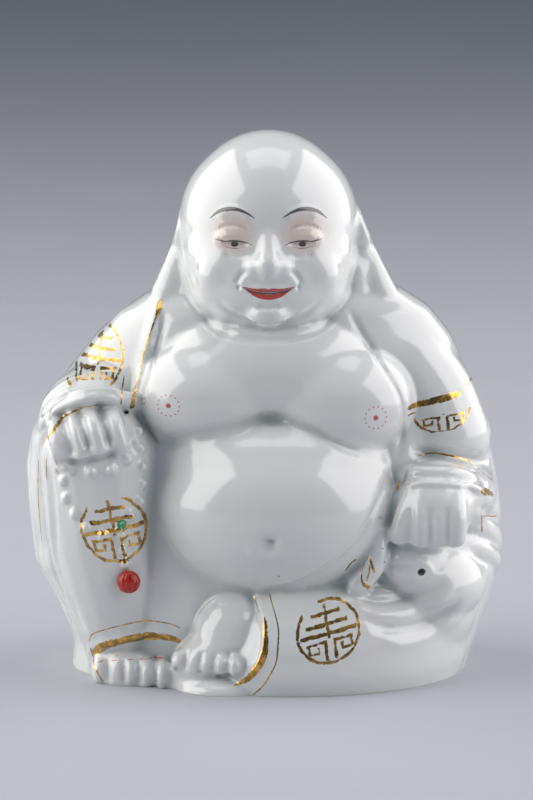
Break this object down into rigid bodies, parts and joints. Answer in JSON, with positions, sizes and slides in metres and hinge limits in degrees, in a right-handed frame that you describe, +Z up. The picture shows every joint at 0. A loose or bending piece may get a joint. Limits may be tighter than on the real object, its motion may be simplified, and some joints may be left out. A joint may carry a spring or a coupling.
{
  "type": "laughing buddha statue",
  "caption": "Seated laughing buddha in glazed white porcelain, with a bare belly, an open robe, long ears, a rosary over a raised knee and a cloth sack.",
  "frame": {"origin": "middle of the bounding box, on the flat underside", "axes": "+Z up, the figure faces -Y, +X is the figure's own left side"},
  "size_m": [0.2202, 0.1554, 0.2497],
  "materials": {
    "porcelain": "clear glossy glaze over white porcelain, with worn gilding and enamel touches"
  },
  "bodies": {
    "root": {"statue": "porcelain"}
  },
  "joints": []
}
